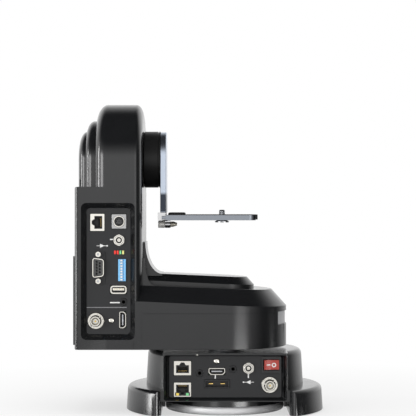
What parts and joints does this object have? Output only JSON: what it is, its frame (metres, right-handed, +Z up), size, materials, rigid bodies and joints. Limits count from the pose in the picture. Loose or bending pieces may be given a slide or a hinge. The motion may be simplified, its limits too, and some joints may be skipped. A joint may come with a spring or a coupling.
{
  "type": "remote pan tilt head",
  "caption": "L-shaped robotic camera head: stepped round base, turning arm, upright tower and tilting camera bracket, with rear socket panels.",
  "frame": {"origin": "on the pan axis, at the underside of the mounting disc", "axes": "+Z up along the pan axis, +X from the tower to the arm's round end, sockets face -Y"},
  "size_m": [0.2369, 0.1678, 0.2924],
  "materials": {
    "body": "cast and painted semi-gloss black",
    "panel": "matt dark grey paint",
    "black": "black moulding",
    "rubber": "soft black",
    "silver": "satin machined",
    "alloy": "clear anodised",
    "nickel": "nickel plated",
    "steel": "machined steel",
    "brass": "machined brass",
    "red": "red moulding",
    "blue": "blue moulding",
    "white": "white moulding",
    "window": "translucent grey",
    "green": "circuit board"
  },
  "bodies": {
    "base": {"mounting_disc": "silver", "base_housing": "body", "pan_spindle": "steel", "pan_bearing": "steel", "pan_gear": "brass", "base_socket_panel": "panel", "base_circuit_board": "green", "base_network_socket_upper": "nickel", "base_network_socket_lower": "nickel", "base_audio_jack_left": "black", "base_hdmi_socket": "nickel", "base_terminal_socket": "black", "base_audio_jack_right": "black", "base_power_socket": "nickel", "base_bnc_socket": "nickel", "power_switch_bezel": "black"},
    "power_rocker": {"power_rocker": "red"},
    "yoke": {"arm_shell": "body", "arm_cover": "body", "tally_window": "window", "pan_motor": "steel", "tower_inner_shell": "body", "tower_outer_shell": "body", "service_hatch": "panel", "drive_plate": "alloy", "tilt_motor": "steel", "tilt_bearing": "steel", "tower_socket_panel": "panel", "tower_circuit_board": "green", "tower_network_socket": "nickel", "tower_control_socket": "black", "tower_power_socket": "nickel", "status_lamps": "white", "tower_serial_socket": "nickel", "dip_switch_body": "blue", "tower_usb_socket": "nickel", "tower_audio_jack": "black", "tower_bnc_socket": "nickel", "tower_hdmi_socket": "nickel"},
    "pan_pinion": {"pan_pinion": "steel"},
    "tilt_pinion": {"tilt_pinion": "steel"},
    "dip_lever_1": {"dip_lever_1": "white"},
    "dip_lever_2": {"dip_lever_2": "white"},
    "dip_lever_3": {"dip_lever_3": "white"},
    "dip_lever_4": {"dip_lever_4": "white"},
    "dip_lever_5": {"dip_lever_5": "white"},
    "dip_lever_6": {"dip_lever_6": "white"},
    "dip_lever_7": {"dip_lever_7": "white"},
    "dip_lever_8": {"dip_lever_8": "white"},
    "tilt_head": {"tilt_shaft": "steel", "tilt_gear": "brass", "tilt_drum": "black", "bracket_upright": "alloy", "bracket_corner_block": "silver"},
    "sliding_plate": {"camera_plate": "alloy", "plate_pad": "rubber"},
    "screw_washer": {"camera_screw_washer": "black"},
    "camera_screw": {"camera_screw": "steel"},
    "clamp_screw_rear": {"clamp_screw_rear": "nickel"},
    "clamp_screw_front": {"clamp_screw_front": "nickel"}
  },
  "joints": [
    {"name": "pan", "type": "hinge", "parent": "base", "child": "yoke", "pos_m": [0, 0, 0.0614], "axis": [0, 0, 1], "range_deg": [-170, 170]},
    {"name": "tilt", "type": "hinge", "parent": "yoke", "child": "tilt_head", "pos_m": [-0.0776, 0, 0.2397], "axis": [1, 0, 0], "range_deg": [-60, 60]},
    {"name": "pan_pinion_spin", "type": "hinge", "parent": "yoke", "child": "pan_pinion", "pos_m": [-0.045, 0, 0.0954], "axis": [0, 0, 1], "range_deg": [-680, 680]},
    {"name": "tilt_pinion_spin", "type": "hinge", "parent": "yoke", "child": "tilt_pinion", "pos_m": [-0.0934, 0, 0.2037], "axis": [1, 0, 0], "range_deg": [-180, 180]},
    {"name": "rocker_press", "type": "hinge", "parent": "base", "child": "power_rocker", "pos_m": [0.0427, -0.054, 0.0472], "axis": [0, 0, 1], "range_deg": [-16, 0]},
    {"name": "dip_slide_1", "type": "slide", "parent": "yoke", "child": "dip_lever_1", "axis": [1, 0, 0], "range_m": [0, 0.0011]},
    {"name": "dip_slide_2", "type": "slide", "parent": "yoke", "child": "dip_lever_2", "axis": [1, 0, 0], "range_m": [0, 0.0011]},
    {"name": "dip_slide_3", "type": "slide", "parent": "yoke", "child": "dip_lever_3", "axis": [1, 0, 0], "range_m": [0, 0.0011]},
    {"name": "dip_slide_4", "type": "slide", "parent": "yoke", "child": "dip_lever_4", "axis": [1, 0, 0], "range_m": [0, 0.0011]},
    {"name": "dip_slide_5", "type": "slide", "parent": "yoke", "child": "dip_lever_5", "axis": [1, 0, 0], "range_m": [0, 0.0011]},
    {"name": "dip_slide_6", "type": "slide", "parent": "yoke", "child": "dip_lever_6", "axis": [1, 0, 0], "range_m": [0, 0.0011]},
    {"name": "dip_slide_7", "type": "slide", "parent": "yoke", "child": "dip_lever_7", "axis": [1, 0, 0], "range_m": [0, 0.0011]},
    {"name": "dip_slide_8", "type": "slide", "parent": "yoke", "child": "dip_lever_8", "axis": [1, 0, 0], "range_m": [0, 0.0011]},
    {"name": "plate_slide", "type": "slide", "parent": "tilt_head", "child": "sliding_plate", "axis": [0, 1, 0], "range_m": [-0.015, 0.015]},
    {"name": "screw_slide", "type": "slide", "parent": "sliding_plate", "child": "screw_washer", "axis": [1, 0, 0], "range_m": [-0.022, 0.023]},
    {"name": "screw_spin", "type": "hinge", "parent": "screw_washer", "child": "camera_screw", "pos_m": [-0.0026, 0, 0.181], "axis": [0, 0, 1], "continuous": true},
    {"name": "clamp_spin_rear", "type": "hinge", "parent": "tilt_head", "child": "clamp_screw_rear", "pos_m": [-0.055, -0.013, 0.17735], "axis": [1, 0, 0], "continuous": true},
    {"name": "clamp_spin_front", "type": "hinge", "parent": "tilt_head", "child": "clamp_screw_front", "pos_m": [-0.055, 0.013, 0.17735], "axis": [1, 0, 0], "continuous": true}
  ],
  "couplings": [
    {"joint": "pan_pinion_spin", "follows": "pan", "ratio": 4},
    {"joint": "tilt_pinion_spin", "follows": "tilt", "ratio": -3}
  ]
}
